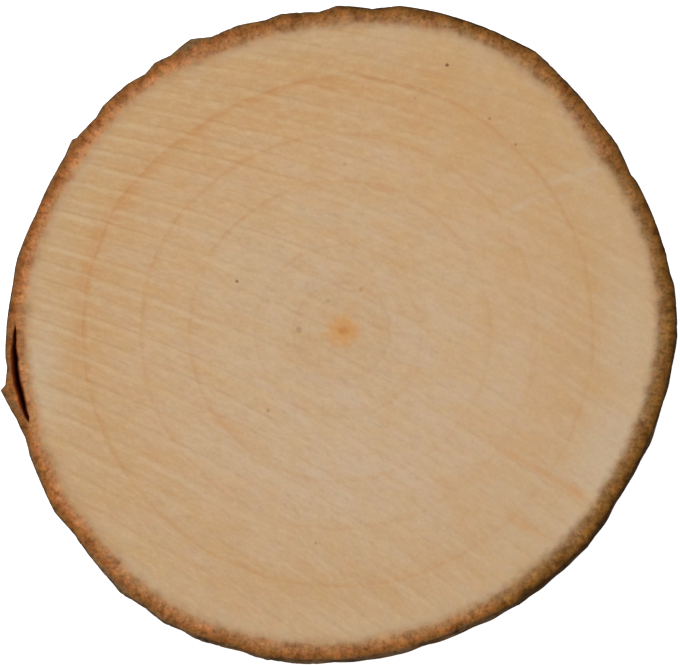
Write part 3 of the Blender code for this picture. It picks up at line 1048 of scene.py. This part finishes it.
def bark_layers(finish):
    """Colour of the sawn bark, from its outline (0) to the cambium (1)."""
    depth, inward = finish.stored("depth"), finish.stored("inward")
    thickness = finish.work("MAXIMUM", finish.work("SUBTRACT", depth, inward), LEAST_THICKNESS)
    layer = finish.work("DIVIDE", depth, thickness)
    layer = finish.swayed(layer, finish.cloud(0.9, 2.0), LAYER_SWAY)
    shade = finish.swayed(finish.stored("shade_side"), finish.cloud(2.5, 2.0), 0.5)
    shade = finish.fade(shade, -0.1, 0.9)
    light, dark = finish.painted(layer, LIGHT_BARK), finish.painted(layer, DARK_BARK)
    colour = finish.blend(shade, light, dark)
    colour = finish.blend(finish.stored("greyed"), colour, GREYED_PAINT)
    lively = finish.fade(layer, 1.0, 0.6, 0.35, 1.0)
    for grains, strength in ((finish.cloud(0.26, 1.5), 0.5), (bark_grain(finish, depth), 0.6)):
        colour = finish.freckled(colour, grains, finish.times(lively, strength))
    colour = finish.mottled(finish.freckled(colour, finish.cloud(1.6, 1.0), 0.4), 0.6, 0.2)
    olive = finish.fade(finish.cloud(1.1, 1.0), 0.55, 0.7, 0.0, 0.35)
    colour = finish.blend(olive, colour, OLIVE_TINT, "MULTIPLY")
    broken = finish.fade(finish.cloud(2.2, 2.0), 0.35, 0.6, 0.25, 0.9)
    line = finish.times(finish.fade(depth, 0.26, 0.06), broken)
    line = finish.times(line, finish.fade(shade, 0.2, 0.9, 0.45, 0.9))
    return finish.blend(line, colour, OUTER_LINE_TINT, "MULTIPLY")


print("bark layers ready")

# %% [markdown]
# On the real slice the saw has smeared wood and bark into each other, and no clean line parts them.
# Two finishes that each stop at the cambium would show such a line. So both pieces share one finish
# for the cut face, and noise moves its border in and out across the cambium.

# %% Join wood and bark on the cut face
TANNED_PAINT = paint(162, 118, 74)


def cut_face(finish):
    """Colour of a sawn face, from pith to outline."""
    wood = with_pith(finish, with_rings(finish, wood_ground(finish)))
    wood = with_specks(finish, with_strokes(finish, wood))
    inward = finish.swayed(finish.stored("inward"), finish.cloud(0.9, 3.0), 0.9)
    inward = finish.swayed(inward, finish.cloud(0.4, 1.0), 0.3)
    patches = finish.fade(finish.cloud(5.0, 1.0), 0.45, 0.6)
    fringe = finish.times(finish.fade(inward, 1.4, 0.6, 0.0, 0.3), patches)
    wood = finish.blend(fringe, wood, PALE_WOOD)
    tanned = finish.fade(finish.stored("bleached"), 0.0, 0.5, 1.0, 0.0)
    tanned = finish.times(tanned, finish.fade(inward, 1.5, 0.2, 0.0, 0.2))
    wood = finish.blend(tanned, wood, TANNED_PAINT)
    return finish.blend(finish.fade(inward, 0.7, -0.35), wood, bark_layers(finish))


# %% [markdown]
# Dry sawn wood is dull, and slightly shinier where the saw has burnished it. The finest saw marks and
# fibres are too small for a mesh, so a bump texture gives them: it tilts the light and moves nothing.

# %% Finish of the sawn wood
def sawn_roughness(finish):
    """A dull sawn surface, a little smoother where the saw has burnished it."""
    streaks = finish.cloud(0.8, 2.0, finish.along_saw(0.1, 11.0))
    return finish.fade(streaks, 0.3, 0.7, 0.58, 0.76)


def sawn_bump(finish):
    """Height of the finest saw marks and fibres, from 0 to 1."""
    streaks = finish.cloud(0.3, 3.0, finish.along_saw(0.12, 2.0))
    return finish.work("MULTIPLY_ADD", finish.cloud(0.15, 2.0), 0.5, streaks)


def cover(piece, finish, colour, roughness, height, rise, shine):
    """Completes a finish and lays it on a piece; rise is the height of its bumps in mm."""
    bumps = {"Height": height, "Distance": rise * MM, "Strength": 1.0}
    normal = finish.add("Bump", bumps).outputs[0]
    for name, value in (("Base Color", colour), ("Roughness", roughness), ("Normal", normal)):
        finish.links.new(value, finish.shader.inputs[name])
    finish.shader.inputs["Specular IOR Level"].default_value = shine
    piece.data.materials.append(finish.material)
    print(len(finish.nodes), "steps in the finish of", piece.name)


wood_finish = Finish("sawn_wood")
wood_colour, wood_height = cut_face(wood_finish), sawn_bump(wood_finish)
cover(sawn_wood, wood_finish, wood_colour, sawn_roughness(wood_finish), wood_height, 0.02, 0.3)

# %% [markdown]
# The bark's outer side is weathered. Its ridges are grey-brown and dusty, its fissures are dark, its
# pores are rusty, and where a flake has come off the redder bark below shows. Towards the right and
# lower right the outer side is darkened further with painted shade. In the crack the torn bark is
# red-brown all the way down, with painted shade that makes it a little darker towards its foot, and
# little light gets to its foot, so it looks almost black there.

# %% Finish of the bark
SKIN = [  # level of the noise, and the colour there
    (0.30, (58, 43, 29)), (0.45, (80, 60, 40)), (0.58, (97, 76, 53)), (0.75, (118, 99, 74)),
]
RUSTY_PAINT, DUSTY_PAINT, PORE_PAINT = paint(104, 58, 27), paint(134, 117, 94), paint(140, 102, 66)
FISSURE_PAINT = paint(36, 25, 16)
# painted shade: multiplies the outer side's colour where it faces the right and lower right
SHADED_TINT = (0.30, 0.26, 0.20, 1)
# the torn bark's own red-brown, painted a little darker and redder down the crack as shade
TORN_BARK_AND_SHADE = [  # share of the way down the crack, and the colour there
    (0.0, (148, 84, 50)), (0.03, (136, 66, 34)), (0.3, (128, 54, 22)), (1.0, (124, 50, 14)),
]


def bark_skin(finish):
    """Colour of the weathered outer side, with painted shade towards the right and lower right."""
    upright = finish.move("MULTIPLY", finish.place, (1, 1, 0.35))
    skin = finish.painted(finish.cloud(3.2, 3.0, upright), SKIN)
    rusty = finish.fade(finish.cloud(1.3, 3.0, upright), 0.52, 0.66, 0.0, 0.6)
    dusty = finish.fade(finish.cloud(0.8, 4.0), 0.52, 0.72, 0.0, 0.35)
    pore = finish.fade(finish.stored("pore"), 0.25, 0.8, 0.0, 0.8)
    for share, tint in ((rusty, RUSTY_PAINT), (dusty, DUSTY_PAINT), (pore, PORE_PAINT)):
        skin = finish.blend(share, skin, tint)
    skin = finish.freckled(skin, finish.cloud(0.22, 2.5), 0.55)
    frayed = finish.work("MULTIPLY_ADD", finish.cloud(0.3, 3.0), 0.12, finish.stored("furrow"))
    fissure = finish.fade(frayed, FISSURE_WIDTH, 0.06, 0.0, 0.85)
    fissure = finish.times(fissure, finish.stored("fissure_force"))
    skin = finish.blend(fissure, skin, FISSURE_PAINT)
    # painted shade on the outer side, strongest towards the right and lower right
    shaded = finish.fade(finish.stored("shade_side"), 0.15, 0.85, 0.0, 0.8)
    return finish.blend(shaded, skin, SHADED_TINT, "MULTIPLY")


def torn_bark(finish):
    """Colour of the bark inside the crack, with painted shade that darkens it towards its foot."""
    torn = finish.mottled(finish.painted(finish.stored("crack"), TORN_BARK_AND_SHADE), 0.5, 0.3)
    return finish.freckled(torn, finish.cloud(0.35, 2.0), 0.4)


bark_finish = Finish("bark")
skin_share = bark_finish.stored("skin")
crack_share = bark_finish.fade(bark_finish.stored("crack"), 0.005, 0.05)
bark_colour = bark_finish.blend(skin_share, cut_face(bark_finish), bark_skin(bark_finish))
bark_colour = bark_finish.blend(crack_share, bark_colour, torn_bark(bark_finish))
bark_roughness = bark_finish.fade(bark_finish.cloud(0.6, 2.0), 0.3, 0.7, 0.72, 0.92)
coarse, fine = bark_finish.cloud(0.5, 3.0), bark_finish.cloud(0.18, 2.0)
bark_height = bark_finish.work("MULTIPLY_ADD", coarse, 0.6, fine)
bark_height = bark_finish.times(bark_height, bark_finish.fade(skin_share, 0.0, 1.0, 0.25, 1.0))
cover(bark, bark_finish, bark_colour, bark_roughness, bark_height, 0.11, 0.0)

# %% [markdown]
# Both pieces belong to the slice's one body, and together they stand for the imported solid.

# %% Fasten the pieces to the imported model
for piece in (sawn_wood, bark):
    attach(piece, "root")
    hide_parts("wood_slice")
print("pieces ride on root")

# %% [markdown]
# The slice lies on a plain white table, which glows a little, as on a light table, so that its
# shadow stays faint. One very large soft lamp hangs overhead, slightly towards the upper left, and
# a white surround fills the shadows.

# %% Table and light
TABLE_SIZE = 1.2  # metres
TABLE_GAP = 0.02 * MM  # keeps the two surfaces from flickering where they touch
LAMP_SIZE = 0.9
LAMP_PLACE = Vector((-0.25, 0.30, 0.9))
LAMP_POWER = 6.3
SURROUND = 0.52
TABLE_WHITE, TABLE_GLOW = 0.92, 0.75

table_mesh = bpy.data.meshes.new("table")
half = TABLE_SIZE / 2
table_corners = [(-half, -half, 0), (half, -half, 0), (half, half, 0), (-half, half, 0)]
table_mesh.from_pydata(table_corners, [], [(0, 1, 2, 3)])
table = bpy.data.objects.new("table", table_mesh)
bpy.context.scene.collection.objects.link(table)
table.location.z = -TABLE_GAP
table_finish = Finish("table_white")
table_finish.shader.inputs["Base Color"].default_value = grey(TABLE_WHITE)
table_finish.shader.inputs["Roughness"].default_value = 0.9
table_finish.shader.inputs["Emission Color"].default_value = (1, 1, 1, 1)
table_finish.shader.inputs["Emission Strength"].default_value = TABLE_GLOW
table_mesh.materials.append(table_finish.material)
table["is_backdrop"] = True

lamp_data = bpy.data.lights.new("lamp", "AREA")
lamp_data.size = LAMP_SIZE
lamp_data.energy = LAMP_POWER
lamp = bpy.data.objects.new("lamp", lamp_data)
lamp.location = LAMP_PLACE
lamp.rotation_euler = LAMP_PLACE.to_track_quat("Z", "Y").to_euler()
bpy.context.scene.collection.objects.link(lamp)

world = bpy.data.worlds.new("surround")
world.use_nodes = True
world.node_tree.nodes["Background"].inputs["Color"].default_value = (1, 1, 1, 1)
world.node_tree.nodes["Background"].inputs["Strength"].default_value = SURROUND
bpy.context.scene.world = world
bpy.context.scene.view_settings.view_transform = "Standard"
print("lamp at", [round(v, 2) for v in LAMP_PLACE], "m")

# %% [markdown]
# The photograph looks straight down from well above the slice, a touch from below its middle, so
# that a thin line of its dark side shows along the lower right. A long lens from 0.8 m keeps the
# disc from looking like a cone.

# %% Camera
CAMERA_DISTANCE = 0.8
CAMERA_TILT = math.radians(1.0)
CAMERA_SIDE = math.radians(295)  # the side that the camera leans towards
VIEW_WIDTH = 65.68 * MM  # what the picture's width covers at the upper face

camera_data = bpy.data.cameras.new("camera")
camera_data.lens = camera_data.sensor_width * CAMERA_DISTANCE / VIEW_WIDTH
camera_data.clip_end = 10.0
camera = bpy.data.objects.new("camera", camera_data)
lean_direction = Vector((math.cos(CAMERA_SIDE), math.sin(CAMERA_SIDE), 0)) * math.sin(CAMERA_TILT)
view_direction = lean_direction + Vector((0, 0, math.cos(CAMERA_TILT)))
aim = Vector((FACE_MIDDLE[0] * MM, FACE_MIDDLE[1] * MM, THICKNESS * MM))
camera.location = aim + view_direction * CAMERA_DISTANCE
camera_right = Vector((0, 1, 0)).cross(view_direction).normalized()
camera_up = view_direction.cross(camera_right)
camera.rotation_euler = Matrix((camera_right, camera_up, view_direction)).transposed().to_euler()
bpy.context.scene.collection.objects.link(camera)
bpy.context.scene.camera = camera
print(f"lens {camera_data.lens:.0f} mm at {CAMERA_DISTANCE:.1f} m")

# %% [markdown]
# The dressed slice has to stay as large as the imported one. Both are measured and written down: a
# little may be missing where the bark was carved, but nothing may be added.

# %% Compare the sizes and finish
visual_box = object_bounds()
spans = zip(visual_box[1] - visual_box[0], cad_box[1] - cad_box[0])
print("grown by", [round((after - before) / MM, 2) for after, before in spans])
